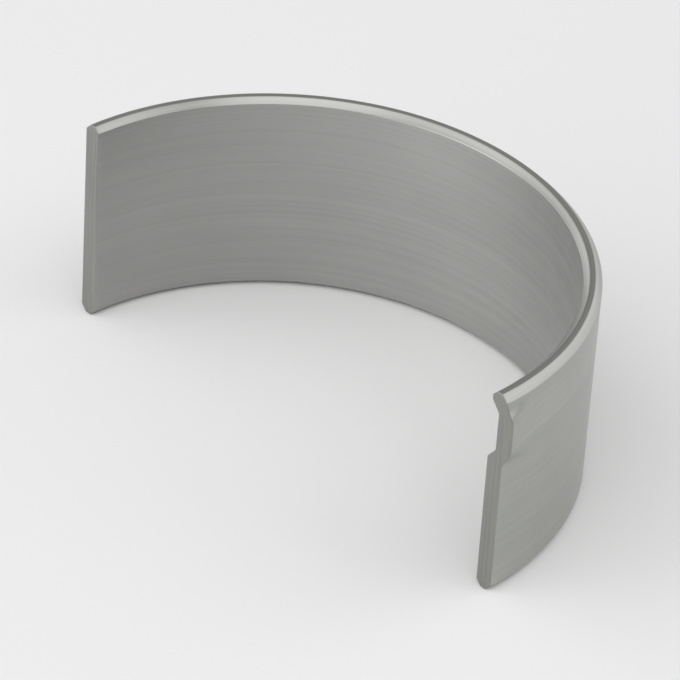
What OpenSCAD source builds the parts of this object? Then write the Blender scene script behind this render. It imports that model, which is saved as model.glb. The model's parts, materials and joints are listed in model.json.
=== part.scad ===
// Engine bearing shell: one half of a split plain bearing for a connecting rod.
// A thin strip rolled to a half ring, chamfered along both rims, with a locating tang pressed out at one end.
// Z is the bearing axis, X lies along the parting line, and +Y points at the crown of the back.
// The origin is on the bearing axis, half way along the shell's width.

/* [Shell] */
// Diameter of the back, which seats in the housing
back_d = 60; // [44:0.5:90]
// Thickness of the wall, from the running surface to the back
wall = 1.88; // [1.5:0.01:3]
// Width of the shell along the bearing axis
shell_w = 22.4; // [14:0.1:40]

/* [Rims] */
// Chamfer at 45 degrees along the running side of each rim
inner_chamfer = 0.6; // [0.2:0.05:0.65]
// Chamfer at 45 degrees along the back of each rim
outer_chamfer = 0.7; // [0.2:0.05:0.75]

/* [Locating tang] */
// Depth that the wall is pressed outwards at the parting face
tang_lift = 0.95; // [0.6:0.05:1.6]
// Length of the tang round the shell, from the parting face to its hinge line
tang_l = 3; // [2:0.1:6]
// Width of the tang along the bearing axis, over the feet of both flanks
tang_w = 6.8; // [5:0.1:9]
// Distance from the rim to the foot of the tang's upper flank
tang_inset = 0.9; // [0.8:0.05:4]
// Lean of both flanks, away from the bearing axis
flank_angle = 40; // [35:1:60]

/* [Hidden] */
$fn = 180;
half_turn = 180;

back_r = back_d / 2;
bore_r = back_r - wall;
rim_z = shell_w / 2;

// The tang's end of the wall swings outwards about a hinge line on the running surface,
// and its curves stay round about a centre that swings with it
hinge = [sqrt(pow(bore_r, 2) - pow(tang_l, 2)), tang_l];
swing = atan(tang_lift / tang_l);
swing_centre = [
    hinge.x * (1 - cos(swing)) + hinge.y * sin(swing),
    hinge.y * (1 - cos(swing)) - hinge.x * sin(swing)
];
tang_top_z = rim_z - tang_inset;
tang_bottom_z = tang_top_z - tang_w;

// Reach past the metal, so that a cut or a trimmed form ends in free space
clear = 0.3;

// Where a curve of radius r crosses the parting face once it has swung
function crest_x(r) = swing_centre.x + sqrt(pow(r, 2) - pow(swing_centre.y, 2));

// Point where the swung curve of radius r leaves the shell's own curve of that radius
function leaving(r) =
    let (half = swing_centre / 2, across = [-half.y, half.x] / norm(half))
    half + across * sqrt(pow(r, 2) - pow(norm(half), 2));

// Section of the wall: a strip on end with both rims chamfered on both sides
module wall_section() {
    polygon([
        [bore_r, -rim_z + inner_chamfer],
        [bore_r + inner_chamfer, -rim_z],
        [back_r - outer_chamfer, -rim_z],
        [back_r, -rim_z + outer_chamfer],
        [back_r, rim_z - outer_chamfer],
        [back_r - outer_chamfer, rim_z],
        [bore_r + inner_chamfer, rim_z],
        [bore_r, rim_z - inner_chamfer]
    ]);
}

// Round form of radius r, swung about the hinge line, over the whole width
module swung_round(r) {
    translate(swing_centre)
        cylinder(r = r, h = shell_w, center = true);
}

// Outline of the tang at radius r, seen along Y: two flanks that lean towards each other, each with its
// foot where the swung curve leaves the shell
module tang_outline(r) {
    foot_x = leaving(r).x;
    near_x = foot_x - clear;
    past_x = crest_x(r) + clear;
    near_rise = (foot_x - near_x) / tan(flank_angle);
    past_drop = (past_x - foot_x) / tan(flank_angle);
    polygon([
        [near_x, tang_top_z + near_rise],
        [past_x, tang_top_z - past_drop],
        [past_x, tang_bottom_z + past_drop],
        [near_x, tang_bottom_z - near_rise]
    ]);
}

// Form of the tang at radius r: its outline, run along Y from from_y and trimmed by the swung curve
module tang_form(r, from_y) {
    to_y = leaving(r).y + clear;
    intersection() {
        swung_round(r);
        translate([0, to_y, 0])
            rotate([90, 0, 0])
                linear_extrude(to_y - from_y)
                    tang_outline(r);
    }
}

// Outside of the tang, standing proud of the back at the +X parting face
module tang_back() {
    tang_form(back_r, 0);
}

// Hollow that the press leaves in the running surface behind the tang
module tang_press() {
    tang_form(bore_r, -clear);
}

module bearing_shell() {
    color([0.62, 0.62, 0.6])
        difference() {
            union() {
                rotate_extrude(angle = half_turn)
                    wall_section();
                tang_back();
            }
            tang_press();
        }
}

bearing_shell();
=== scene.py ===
# %% [markdown]
# An engine bearing shell
#
# A crankshaft turns in plain bearings that are split in two, so that they can be laid round the shaft.
# Each half is a thin steel strip with a soft lining, rolled to a half ring. Its inside is bored to size,
# its rims are chamfered, and one end has a small tang that is pressed out to hold it in its seat.
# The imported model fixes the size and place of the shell. This lesson gives it its surface: the rounded
# edges, the marks that each tool left, and the light that shows them.

# %% Load the fixed frame
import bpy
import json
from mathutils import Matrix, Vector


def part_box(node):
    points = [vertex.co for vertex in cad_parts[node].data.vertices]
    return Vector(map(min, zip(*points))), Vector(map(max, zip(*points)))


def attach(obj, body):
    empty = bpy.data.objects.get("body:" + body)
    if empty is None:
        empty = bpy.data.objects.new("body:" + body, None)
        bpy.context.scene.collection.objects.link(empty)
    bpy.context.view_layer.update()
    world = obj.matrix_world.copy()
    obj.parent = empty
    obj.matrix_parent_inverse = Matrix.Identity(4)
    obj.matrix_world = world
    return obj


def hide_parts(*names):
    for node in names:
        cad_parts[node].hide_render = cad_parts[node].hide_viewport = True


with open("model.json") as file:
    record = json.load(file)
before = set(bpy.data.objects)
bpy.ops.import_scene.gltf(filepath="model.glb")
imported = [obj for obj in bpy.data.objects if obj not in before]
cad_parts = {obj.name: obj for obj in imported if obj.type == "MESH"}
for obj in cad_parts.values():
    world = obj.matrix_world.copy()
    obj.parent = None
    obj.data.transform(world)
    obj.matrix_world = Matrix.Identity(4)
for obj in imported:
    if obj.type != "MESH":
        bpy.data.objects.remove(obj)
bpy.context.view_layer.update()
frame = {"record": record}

# %% Other modules
import json
import math

import bmesh
import bpy
from mathutils import Matrix, Vector

scene = bpy.context.scene
print("Blender", bpy.app.version_string)

# %% [markdown]
# Sizes
#
# The frame knows the radius of the bore and of the back from its mounts, and the width from its box.
# They could be typed in again, but a size that is read from the frame can't disagree with it.
# Blender works in metres, so a millimetre and a micron get names.

# %% Sizes of the shell
MM = 0.001
MICRON = 0.001 * MM
mounts = {mount["name"]: mount for mount in frame["record"]["mounts"]}
bore_radius = mounts["journal_bore"]["dims"]["r_mm"] * MM
back_radius = mounts["housing_back"]["dims"]["r_mm"] * MM
shell_low, shell_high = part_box("bearing_shell")
shell_width = shell_high.z - shell_low.z
wall = back_radius - bore_radius
print(f"wall {wall / MM:.2f} mm, width {shell_width / MM:.2f} mm, bore radius {bore_radius / MM:.2f} mm")


# %% [markdown]
# Camera
#
# The shell stands on one rim and is seen from above its tang end, over the parting line. A long lens far
# away keeps the two ends almost the same size. The angles were fitted to the rims and corners of the shell.
# A Track To constraint could aim the camera, but it can't hold the small roll, so the camera's matrix is
# built from its three directions.

# %% Directions round the shell
def direction(azimuth, elevation):
    """Unit vector from the shell towards a place round it, with azimuth 0 in front at -Y."""
    around = math.radians(azimuth)
    above = math.radians(elevation)
    level = math.cos(above)
    return Vector((math.sin(around) * level, -math.cos(around) * level, math.sin(above)))


view_azimuth = 45.5
view_elevation = 34.4
view_roll = math.radians(3.8)
back_dir = direction(view_azimuth, view_elevation)
level_dir = Vector((0, 0, 1)).cross(back_dir).normalized()
rise_dir = back_dir.cross(level_dir)
right_dir = level_dir * math.cos(view_roll) + rise_dir * math.sin(view_roll)
up_dir = rise_dir * math.cos(view_roll) - level_dir * math.sin(view_roll)
print("the camera looks along", tuple(round(-part, 3) for part in back_dir))

# %% Camera at the viewing angle
view_distance = 0.433
view_aim = Vector((-1.85, 9.47, -3.73)) * MM
frame_pixels = 680
focal_pixels = 4400

camera_data = bpy.data.cameras.new("viewing_camera")
camera_data.sensor_width = 36
camera_data.lens = focal_pixels / frame_pixels * camera_data.sensor_width
camera = bpy.data.objects.new("viewing_camera", camera_data)
turned = Matrix((right_dir, up_dir, back_dir)).transposed()
camera.matrix_world = Matrix.LocRotScale(view_aim + back_dir * view_distance, turned, None)
scene.collection.objects.link(camera)
scene.camera = camera
scene.view_settings.view_transform = "Standard"
print(f"lens {camera_data.lens:.0f} mm, {view_distance / MM:.0f} mm away")

# %% [markdown]
# Floor
#
# The shell rests on its lower rim, on something flat. A plane from the Add menu would do, but then it has
# to be moved and scaled. One face from four corners has its height straight from the frame.
# It is pale and rough: it takes a soft shadow, and the upright walls of the shell mirror it.

# %% Floor
floor_reach = 3
square = ((-1, -1), (1, -1), (1, 1), (-1, 1))
corners = [(x * floor_reach, y * floor_reach, shell_low.z) for x, y in square]
floor_mesh = bpy.data.meshes.new("floor")
floor_mesh.from_pydata(corners, [], [(0, 1, 2, 3)])
floor_finish = bpy.data.materials.new("pale_floor")
floor_finish.use_nodes = True
floor_shader = floor_finish.node_tree.nodes["Principled BSDF"]
floor_shader.inputs["Base Color"].default_value = (0.9, 0.9, 0.9, 1)
floor_shader.inputs["Roughness"].default_value = 0.9
floor_mesh.materials.append(floor_finish)
floor = bpy.data.objects.new("floor", floor_mesh)
scene.collection.objects.link(floor)
print(f"floor at {shell_low.z / MM:.2f} mm")

# %% [markdown]
# Light
#
# Bare metal has almost no colour of its own: it shows what stands round it. A small strong lamp would give
# white spots in a dark half ring, so the light is an even, dim world with large weak lamps, like the
# softboxes of a studio. Each stands where one of the surfaces mirrors it towards the camera.
# The left one shows in the inner chamfer at the crown, and the top one, above the camera, shows in it left
# of the crown and brightens the floor. The one behind on the right shows in the outer chamfer beside the
# tang. Low panels on the left and behind carry both bright lines on round the bend, and the panel in front
# lays a soft glow on the running surface.

# %% World
world = bpy.data.worlds.new("studio")
world.use_nodes = True
background = world.node_tree.nodes["Background"]
background.inputs["Color"].default_value = (1, 1, 1, 1)
background.inputs["Strength"].default_value = 0.42
scene.world = world
print("world strength", round(background.inputs["Strength"].default_value, 2))


# %% Soft lamps
def soft_lamp(name, azimuth, elevation, distance, wide, high, watts):
    """A lamp with a wide by high face, so many metres away, that looks at the shell."""
    lamp_data = bpy.data.lights.new(name, "AREA")
    lamp_data.shape = "RECTANGLE"
    lamp_data.size = wide
    lamp_data.size_y = high
    lamp_data.energy = watts
    lamp = bpy.data.objects.new(name, lamp_data)
    away = direction(azimuth, elevation)
    lamp.matrix_world = Matrix.LocRotScale(away * distance, away.to_track_quat("Z", "Y"), None)
    lamp.visible_camera = False
    scene.collection.objects.link(lamp)
    return lamp


lamps = [
    soft_lamp("left_softbox", azimuth=-46, elevation=38, distance=0.7, wide=0.8, high=0.8, watts=1.25),
    soft_lamp("top_softbox", azimuth=45, elevation=62, distance=0.8, wide=0.7, high=0.7, watts=1.8),
    soft_lamp("rear_softbox", azimuth=136, elevation=38, distance=0.8, wide=0.7, high=0.7, watts=1.4),
    soft_lamp("left_panel", azimuth=-98, elevation=13, distance=0.7, wide=0.5, high=0.3, watts=0.38),
    soft_lamp("back_panel", azimuth=178, elevation=13, distance=0.7, wide=0.5, high=0.3, watts=0.38),
    soft_lamp("front_panel", azimuth=-16, elevation=19, distance=0.6, wide=0.7, high=0.38, watts=1.05),
]
print("lamps:", [lamp.name for lamp in lamps])


# %% [markdown]
# Formulas in nodes
#
# Both the finishes and the shape are written as formulas. A Math node holds one step of a formula, so a
# long one becomes a maze of nodes. The small class below stands for one value in a tree, and plain
# arithmetic on it adds the Math nodes, which keeps the formulas readable.

# %% Values that grow Math nodes
def join(value, socket):
    """Links a field to an input, or writes a plain value on it."""
    if isinstance(value, Field):
        socket.id_data.links.new(value.socket, socket)
    else:
        socket.default_value = value


def calc(operation, *values):
    """One Math node on fields and numbers."""
    tree = next(value.socket.id_data for value in values if isinstance(value, Field))
    node = tree.nodes.new("ShaderNodeMath")
    node.operation = operation
    for value, socket in zip(values, node.inputs):
        join(value, socket)
    return Field(node.outputs[0])


class Field:
    """A value in a node tree, which plain arithmetic can use."""

    def __init__(self, socket):
        self.socket = socket

    def __add__(self, other):
        return calc("ADD", self, other)

    def __sub__(self, other):
        return calc("SUBTRACT", self, other)

    def __rsub__(self, other):
        return calc("SUBTRACT", other, self)

    def __mul__(self, other):
        return calc("MULTIPLY", self, other)

    def __truediv__(self, other):
        return calc("DIVIDE", self, other)


# %% Nodes in one line
def grow(tree, kind, inputs=None, output=0, **settings):
    """Adds a node with its settings and inputs, and returns one of its outputs."""
    node = tree.nodes.new(kind)
    for name, value in settings.items():
        setattr(node, name, value)
    for name, value in (inputs or {}).items():
        join(value, node.inputs[name])
    return Field(node.outputs[output])


# %% [markdown]
# Finishes
#
# Every surface of the shell is bare metal, but each was made by another tool and keeps its marks: fine
# lines that run the way the tool went. They could be painted, or taken from a picture. Noise that is
# stretched along the tool's path gives such lines at any size, with no picture to stretch or repeat.
# A line that runs round the half ring keeps one height, so noise that is squeezed along Z makes rings.
# The noise tints the metal a little, changes its roughness, and is let into the surface as bump.
# Close, even lines also spread the shine across themselves. The shader's anisotropy spreads it along a
# given way, here the way round the ring, which the shell will keep in a UV map named strip. A quarter of
# a turn then points the shine across the lines.

# %% Start of a metal finish
quarter_turn = 0.25


def metal(name, anisotropy=0.0):
    """A metal material, its shader and the object coordinates."""
    finish = bpy.data.materials.new(name)
    finish.use_nodes = True
    tree = finish.node_tree
    shader = tree.nodes["Principled BSDF"]
    shader.inputs["Metallic"].default_value = 1
    if anisotropy:
        round_the_ring = grow(tree, "ShaderNodeTangent", direction_type="UV_MAP", uv_map="strip")
        join(round_the_ring, shader.inputs["Tangent"])
        shader.inputs["Anisotropic"].default_value = anisotropy
        shader.inputs["Anisotropic Rotation"].default_value = quarter_turn
    return finish, shader, grow(tree, "ShaderNodeTexCoord", output="Object")


# %% Marks of a tool
def marks(place, per_metre):
    """Noise with so many marks to the metre along X, Y and Z, and finer ones between them."""
    tree = place.socket.id_data
    squeezed = grow(tree, "ShaderNodeMapping", {"Vector": place, "Scale": per_metre})
    return grow(tree, "ShaderNodeTexNoise", {"Vector": squeezed, "Scale": 1.0, "Detail": 3.0})


# %% What the marks change
def tint(shader, amount, dark, light):
    """Colours the metal between two tints, over the middle of the noise."""
    middle = (0.3, 0.7)
    ramp = shader.id_data.nodes.new("ShaderNodeValToRGB")
    for element, position, colour in zip(ramp.color_ramp.elements, middle, (dark, light)):
        element.position = position
        element.color = (*colour, 1)
    join(amount, ramp.inputs["Fac"])
    join(Field(ramp.outputs["Color"]), shader.inputs["Base Color"])


def polish(shader, roughness):
    """Sets how rough the metal is, between 0 for a mirror and 1 for no shine."""
    join(roughness, shader.inputs["Roughness"])


def cut(shader, lines, depth):
    """Lets the tool's lines into the surface, so deep from the highest crest to the lowest root."""
    grooves = grow(shader.id_data, "ShaderNodeBump", {"Height": lines, "Distance": depth, "Strength": 1.0})
    join(grooves, shader.inputs["Normal"])


# %% [markdown]
# Running surface
#
# The inside carries the turning shaft on a film of oil. A fine boring tool leaves it satin grey, with faint
# rings about a third of a millimetre apart and finer ones between them, which the noise's detail adds.
# Wide clouds are mixed in, because the soft lining metal isn't quite even.

# %% Running surface
bored_lining, shader, place = metal("bored_lining", anisotropy=0.3)
clouds = marks(place, per_metre=(70, 70, 110))
feed_lines = marks(place, per_metre=(16, 16, 3200))
tint(shader, clouds * 0.4 + feed_lines * 0.6, dark=(0.388, 0.388, 0.377), light=(0.471, 0.469, 0.455))
polish(shader, clouds * 0.08 + feed_lines * 0.16 + 0.42)
cut(shader, feed_lines, depth=14 * MICRON)
print(bored_lining.name, "has", len(shader.id_data.nodes), "nodes")

# %% [markdown]
# Back
#
# The outside is the steel of the strip, as the rolls left it, with a slight green-grey cast. It seats in
# the housing, so it is smooth but not cut: its lines are longer and softer, and its clouds are smaller.

# %% Back
rolled_back, shader, place = metal("rolled_back", anisotropy=0.4)
clouds = marks(place, per_metre=(120, 120, 160))
roll_lines = marks(place, per_metre=(10, 10, 1500))
tint(shader, clouds * 0.45 + roll_lines * 0.55, dark=(0.385, 0.395, 0.37), light=(0.49, 0.495, 0.47))
polish(shader, clouds * 0.12 + roll_lines * 0.14 + 0.25)
cut(shader, roll_lines, depth=20 * MICRON)
print(rolled_back.name, "has", len(shader.id_data.nodes), "nodes")

# %% [markdown]
# Chamfers
#
# Both edges of each rim are turned off at 45 degrees. The cut is fresh and bright, so the chamfers are the
# lightest lines on the shell. They are only six to seven tenths of a millimetre high, so the rings are
# fine.

# %% Chamfers
turned_chamfers, shader, place = metal("turned_chamfers", anisotropy=0.4)
feed_lines = marks(place, per_metre=(20, 20, 5000))
tint(shader, feed_lines, dark=(0.385, 0.385, 0.372), light=(0.485, 0.482, 0.465))
polish(shader, feed_lines * 0.14 + 0.27)
cut(shader, feed_lines, depth=7 * MICRON)
print(turned_chamfers.name, "has", len(shader.id_data.nodes), "nodes")

# %% [markdown]
# Rims
#
# The narrow flat between two chamfers was faced across, so its rings differ in radius and not in height.
# The noise is squeezed along Z as before, but the place that it reads gets the radius as its height.

# %% Rims
faced_rims, shader, place = metal("faced_rims")
tree = shader.id_data
flat_place = grow(tree, "ShaderNodeVectorMath", {0: place, 1: (1, 1, 0)}, operation="MULTIPLY")
from_axis = grow(tree, "ShaderNodeVectorMath", {0: flat_place}, "Value", operation="LENGTH")
ring_height = grow(tree, "ShaderNodeCombineXYZ", {"Z": from_axis})
ring_place = grow(tree, "ShaderNodeVectorMath", {0: flat_place, 1: ring_height}, operation="ADD")
facing_lines = marks(ring_place, per_metre=(20, 20, 5000))
tint(shader, facing_lines, dark=(0.355, 0.355, 0.335), light=(0.455, 0.455, 0.43))
polish(shader, facing_lines * 0.14 + 0.3)
cut(shader, facing_lines, depth=7 * MICRON)
print(faced_rims.name, "has", len(tree.nodes), "nodes")

# %% [markdown]
# Parting faces
#
# The two ends press against the ends of the other half. A broach is drawn over them along the width, so
# their lines run along Z and are close together across the wall.

# %% Parting faces
broached_ends, shader, place = metal("broached_ends")
broach_lines = marks(place, per_metre=(4500, 60, 90))
# The tint is darker than the other metals' tints: painted shade, standing in for dark surroundings that
# these upright faces mirror.
tint(shader, broach_lines, dark=(0.27, 0.27, 0.258), light=(0.355, 0.355, 0.34))
polish(shader, broach_lines * 0.14 + 0.3)
cut(shader, broach_lines, depth=9 * MICRON)
print(broached_ends.name, "has", len(shader.id_data.nodes), "nodes")

# %% [markdown]
# The rule of the shell
#
# The shell could be cut from a cylinder by hand, with a bevel on each edge. But its shape follows a rule:
# one chamfered section is swept round half a turn, and a formula presses the tang. Geometry Nodes can hold
# such a rule, so that each size is one named input, and every edge stays even all the way round.
# The frame gives the large sizes. The chamfers have no mount and the tang's mount states no sizes, so theirs
# are written here.

# %% Sizes and finishes of the rule
sizes = {
    "Back Radius": back_radius,
    "Wall": wall,
    "Width": shell_width,
    "Inner Chamfer": 0.6 * MM,
    "Outer Chamfer": 0.7 * MM,
    "Edge Round": 0.15 * MM,
    "End Round": 0.08 * MM,
    "Grid Step": 0.14 * MM,
    "Tang Lift": 0.95 * MM,
    "Tang Length": 3 * MM,
    "Tang Width": 6.8 * MM,
    "Tang Inset": 0.9 * MM,
    "Flank Angle": math.radians(40),
    "Inner Bend": 0.3 * MM,
    "Outer Bend": 0.8 * MM,
}
finishes = {
    "Running Surface": bored_lining,
    "Back": rolled_back,
    "Chamfers": turned_chamfers,
    "Rims": faced_rims,
    "Parting Faces": broached_ends,
}
print("finishes:", [finish.name for finish in finishes.values()])

# %% Tree with named inputs
rule = bpy.data.node_groups.new("bearing_shell_rule", "GeometryNodeTree")
for name in sizes:
    rule.interface.new_socket(name, in_out="INPUT", socket_type="NodeSocketFloat")
for name in finishes:
    rule.interface.new_socket(name, in_out="INPUT", socket_type="NodeSocketMaterial")
rule.interface.new_socket("Shell", in_out="OUTPUT", socket_type="NodeSocketGeometry")
given = rule.nodes.new("NodeGroupInput")
size = {name: Field(given.outputs[name]) for name in sizes}
print("named inputs:", len(sizes) + len(finishes))


# %% [markdown]
# Section of the wall
#
# Seen on end, the wall is a strip with four cut corners. A rectangle gives the strip. Fillet Curve with a
# count of one cuts a corner straight, which is a chamfer, and a second Fillet Curve rounds the edges that
# the chamfers leave, because no real edge is perfectly sharp and a round one catches the light.
# Each stretch is then divided into short steps, so that the press has points to move.
# The section's own coordinates are kept on its points as depth and height, for the formulas that follow.

# %% Helpers for the rule
def store(geometry, name, value):
    """Keeps a value on the points under a name."""
    inputs = {"Geometry": geometry, "Name": name, "Value": value}
    return grow(rule, "GeometryNodeStoreNamedAttribute", inputs)


def kept(name):
    """A value that store() kept."""
    return grow(rule, "GeometryNodeInputNamedAttribute", {"Name": name})


def axis(vector, letter):
    """One part of a vector."""
    return grow(rule, "ShaderNodeSeparateXYZ", {"Vector": vector}, output=letter)


def rounded(curve, fillet, steps):
    """A curve with its corners filleted in so many steps, where one step is a straight cut."""
    inputs = {"Curve": curve, "Radius": fillet, "Count": steps, "Limit Radius": True}
    return grow(rule, "GeometryNodeFilletCurve", inputs, mode="POLY")


# %% Strip with chamfers and round edges
straight_cut = 1
round_steps = 3
position = grow(rule, "GeometryNodeInputPosition")
strip_sides = {"Width": size["Wall"], "Height": size["Width"]}
strip = grow(rule, "GeometryNodeCurvePrimitiveQuadrilateral", strip_sides)
on_back = calc("GREATER_THAN", axis(position, "X"), 0.0)
chamfer = size["Inner Chamfer"] + on_back * (size["Outer Chamfer"] - size["Inner Chamfer"])
section = rounded(rounded(strip, chamfer, straight_cut), size["Edge Round"], round_steps)
print("nodes so far:", len(rule.nodes))

# %% Short steps, and the coordinates to keep
index = grow(rule, "GeometryNodeInputIndex")
step_ahead = {"Point Index": index, "Offset": 1}
next_point = grow(rule, "GeometryNodeOffsetPointInCurve", step_ahead, "Point Index")
next_inputs = {"Value": position, "Index": next_point}
next_place = grow(rule, "GeometryNodeFieldAtIndex", next_inputs, data_type="FLOAT_VECTOR")
span = grow(rule, "ShaderNodeVectorMath", {0: position, 1: next_place}, "Value", operation="DISTANCE")
section = grow(rule, "GeometryNodeSubdivideCurve", {"Curve": section, "Cuts": span / size["Grid Step"]})
section = store(section, "depth", axis(position, "X"))
section = store(section, "height", axis(position, "Y"))
print("nodes so far:", len(rule.nodes))


# %% [markdown]
# Stops of the sweep
#
# The section is swept over a row of stops from one parting face to the other. Even stops would waste points
# on the plain bend or starve the tang, so they stand close over the tang, to a little past its hinge line,
# and further apart after that.
# Three stops at each end round the edge of the parting face: they ease the section inwards along an arc.
# Each stop keeps its turn round the axis, as an angle, and its ease, as a length.

# %% Turn and ease of each stop
end_stops = 3
tang_stops = 36
plain_stops = 150
stop_count = 2 * end_stops + tang_stops + plain_stops + 1
past_hinge = 1.6
middle_radius = size["Back Radius"] - size["Wall"] / 2
tang_stretch = size["Tang Length"] * past_hinge
plain_stretch = middle_radius * math.pi - tang_stretch - size["End Round"] * 2


def climb(first_stop, stops):
    """Climbs from 0 to 1 over some stops of the sweep."""
    return calc("MINIMUM", calc("MAXIMUM", (index - first_stop) / stops, 0.0), 1.0)


first_arc = climb(0, end_stops) * (math.pi / 2)
last_arc = climb(end_stops + tang_stops + plain_stops, end_stops) * (math.pi / 2)
along = (
    size["End Round"] * (1 - calc("COSINE", first_arc))
    + tang_stretch * climb(end_stops, tang_stops)
    + plain_stretch * climb(end_stops + tang_stops, plain_stops)
    + size["End Round"] * calc("SINE", last_arc)
)
ease = size["End Round"] * (2 - calc("SINE", first_arc) - calc("COSINE", last_arc))
print("stops:", stop_count)

# %% Path with its stops
path = grow(rule, "GeometryNodeCurvePrimitiveLine")
path = grow(rule, "GeometryNodeResampleCurve", {"Curve": path, "Count": stop_count})
path = store(path, "turn", along / middle_radius)
path = store(path, "ease", ease)
print("nodes so far:", len(rule.nodes))

# %% [markdown]
# Sweep
#
# Curve to Mesh joins the section along the path and closes both ends. The path is only a straight line, so
# what comes out is a straight bar, but every point of it carries its depth, height, turn and ease. It comes
# out inside out, which Flip Faces puts right.
# The length along the strip and the way across it are kept as a UV map, which the anisotropy reads. Depth
# counts twice in the way across, because on a chamfer of 45 degrees height and depth could cancel out.

# %% Bar with an unrolled UV map
sweep_inputs = {"Curve": path, "Profile Curve": section, "Fill Caps": True}
shell = grow(rule, "GeometryNodeCurveToMesh", sweep_inputs)
shell = grow(rule, "GeometryNodeFlipFaces", {"Mesh": shell})
turn = kept("turn")
across = kept("height") + kept("depth") * 2
strip_place = grow(rule, "ShaderNodeCombineXYZ", {"X": turn * middle_radius, "Y": across})
strip_inputs = {"Geometry": shell, "Name": "strip", "Value": strip_place}
strip_type = {"data_type": "FLOAT2", "domain": "CORNER"}
shell = grow(rule, "GeometryNodeStoreNamedAttribute", strip_inputs, **strip_type)
print("nodes so far:", len(rule.nodes))

# %% [markdown]
# Bend
#
# A bend can be made with a Simple Deform modifier, but that works on the whole bar by one angle. Here each
# point works out its own radius and height, and its turn round the axis then gives X and Y, like the hand
# of a clock.

# %% Place of each point on the half ring
radius = middle_radius + kept("depth") * (1 - kept("ease") / (size["Wall"] / 2))
z = kept("height") * (1 - kept("ease") / (size["Width"] / 2))
plain_x = radius * calc("COSINE", turn)
y = radius * calc("SINE", turn)


def move(geometry, x, selection=True):
    """Puts the selected points at x and at their own y and z."""
    spot = grow(rule, "ShaderNodeCombineXYZ", {"X": x, "Y": y, "Z": z})
    inputs = {"Geometry": geometry, "Selection": selection, "Position": spot}
    return grow(rule, "GeometryNodeSetPosition", inputs)


shell = move(shell, plain_x)
print("nodes so far:", len(rule.nodes))

# %% [markdown]
# Tang
#
# The tang is a corner of the wall that a punch has pushed outwards. It lies in a notch of the housing, and
# so it keeps the shell from sliding while it is fitted. Its end of the wall swings out about a hinge line,
# and both flanks lean, because the metal is stretched there and not torn. Each flank has its foot where the
# swung wall leaves the plain one.
# It could be a separate lump joined with a Boolean, but pressed metal flows: the hollow inside has to
# follow the bulge outside. So one formula moves every layer of the wall. The pressed place is the innermost
# of the swung wall and the two flanks, and the wall lies there or in its plain place, whichever is further
# out. Smooth Minimum and Smooth Maximum choose between them with a soft bend. It is tight on the running
# side, where the punch pressed, and grows wider through the wall towards the back, where nothing shaped the
# metal.

# %% Swing about the hinge line
hinge_y = size["Tang Length"]
bore = size["Back Radius"] - size["Wall"]
hinge_x = calc("SQRT", bore * bore - hinge_y * hinge_y)
swing = calc("ARCTANGENT", size["Tang Lift"] / size["Tang Length"])
centre_x = hinge_x * (1 - calc("COSINE", swing)) + hinge_y * calc("SINE", swing)
centre_y = hinge_y * (1 - calc("COSINE", swing)) - hinge_x * calc("SINE", swing)
swung_x = centre_x + calc("SQRT", radius * radius - (y - centre_y) * (y - centre_y))
print("nodes so far:", len(rule.nodes))

# %% Flanks that lean from their feet
half_way = calc("SQRT", centre_x * centre_x + centre_y * centre_y) / 2
foot_x = centre_x / 2 - centre_y / (half_way * 2) * calc("SQRT", radius * radius - half_way * half_way)
lean = calc("TANGENT", size["Flank Angle"])
tang_top = size["Width"] / 2 - size["Tang Inset"]
upper_flank = foot_x + (tang_top - z) * lean
lower_flank = foot_x + (z - tang_top + size["Tang Width"]) * lean
print("nodes so far:", len(rule.nodes))

# %% Press
through_wall = kept("depth") / size["Wall"] + 0.5
bend = size["Inner Bend"] + through_wall * (size["Outer Bend"] - size["Inner Bend"])
pressed_x = calc("SMOOTH_MIN", calc("SMOOTH_MIN", swung_x, upper_flank, bend), lower_flank, bend)
pressed_x = calc("SMOOTH_MAX", plain_x, pressed_x, bend)
in_reach = calc("LESS_THAN", turn, tang_stretch / middle_radius)
shell = move(shell, pressed_x, in_reach)
print("nodes so far:", len(rule.nodes))

# %% [markdown]
# Finish of each surface
#
# The five finishes could be painted on by picking faces, but the kept depth, height and turn already say
# where each tool went. The chamfers' finish goes on everything first, and each later zone covers its own
# faces, with a micron of slack for the rounding of numbers. Set Material needs real geometry, so Realize
# Instances stands before it.

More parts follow.
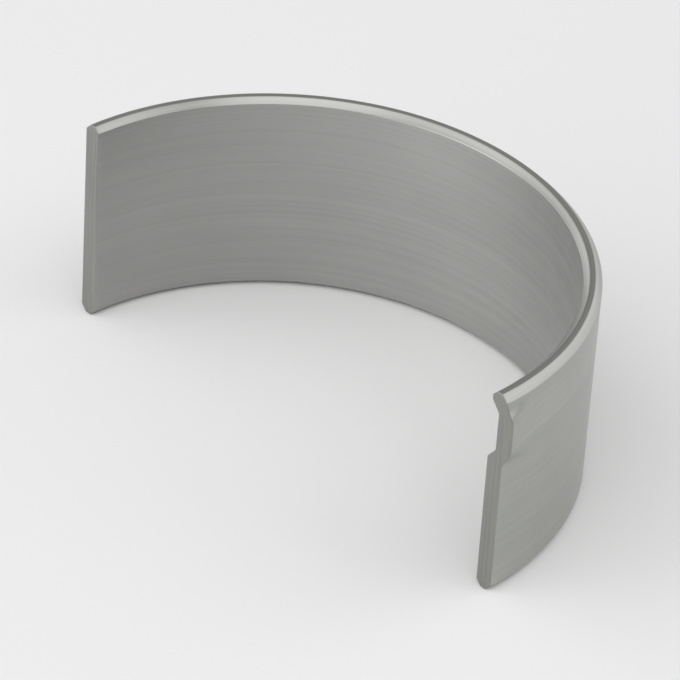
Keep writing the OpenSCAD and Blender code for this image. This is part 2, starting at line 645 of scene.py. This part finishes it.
# %% Zones
slack = 1 * MICRON
end_turn = size["End Round"] / middle_radius
from_crown = calc("ABSOLUTE", turn - math.pi / 2)
zones = {
    "Chamfers": True,
    "Rims": calc("GREATER_THAN", calc("ABSOLUTE", kept("height")), size["Width"] / 2 - slack),
    "Running Surface": calc("LESS_THAN", kept("depth"), size["Wall"] / -2 + slack),
    "Back": calc("GREATER_THAN", kept("depth"), size["Wall"] / 2 - slack),
    "Parting Faces": calc("GREATER_THAN", from_crown, math.pi / 2 - end_turn),
}
shell = grow(rule, "GeometryNodeRealizeInstances", {"Geometry": shell})
for name, zone in zones.items():
    inputs = {"Geometry": shell, "Selection": zone, "Material": Field(given.outputs[name])}
    shell = grow(rule, "GeometryNodeSetMaterial", inputs)
join(shell, rule.nodes.new("NodeGroupOutput").inputs["Shell"])
print("nodes in the rule:", len(rule.nodes))

# %% [markdown]
# Run the rule
#
# A Geometry Nodes modifier on an empty mesh runs the rule. Its inputs are set by identifier, because two
# sockets may share a name. The result is then made a plain mesh and the modifier is taken off, so that the
# piece is the same wherever it goes next.

# %% Shell from the rule
piece = bpy.data.objects.new("bearing_shell_surface", bpy.data.meshes.new("blank"))
scene.collection.objects.link(piece)
modifier = piece.modifiers.new("bearing_shell_rule", "NODES")
modifier.node_group = rule
inputs_by_name = {**sizes, **finishes}
for socket in rule.interface.items_tree:
    if socket.in_out == "INPUT":
        modifier[socket.identifier] = inputs_by_name[socket.name]
evaluated = piece.evaluated_get(bpy.context.evaluated_depsgraph_get())
mesh = bpy.data.meshes.new_from_object(evaluated)
piece.modifiers.remove(modifier)
piece.data = mesh
print("materials:", [finish.name for finish in mesh.materials])
print("UV maps:", [layer.name for layer in mesh.uv_layers])

# %% [markdown]
# Measure
#
# A mesh can look right and still be open or inside out. A closed mesh has two faces at every edge, and one
# that faces outwards has a positive volume. The solid of this shell has about 3770 cubic millimetres.

# %% Volume and open edges
form = bmesh.new()
form.from_mesh(mesh)
volume = form.calc_volume(signed=True)
open_edges = sum(not edge.is_manifold for edge in form.edges)
form.free()
print(f"{len(mesh.polygons)} faces, {volume / MM ** 3:.1f} cubic mm, {open_edges} open edges")
print("smooth faces:", sum(face.use_smooth for face in mesh.polygons))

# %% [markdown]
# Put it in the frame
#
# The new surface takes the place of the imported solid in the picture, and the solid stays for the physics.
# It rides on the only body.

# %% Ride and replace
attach(piece, "root")
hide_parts("bearing_shell")
print(piece.name, "stands for bearing_shell")
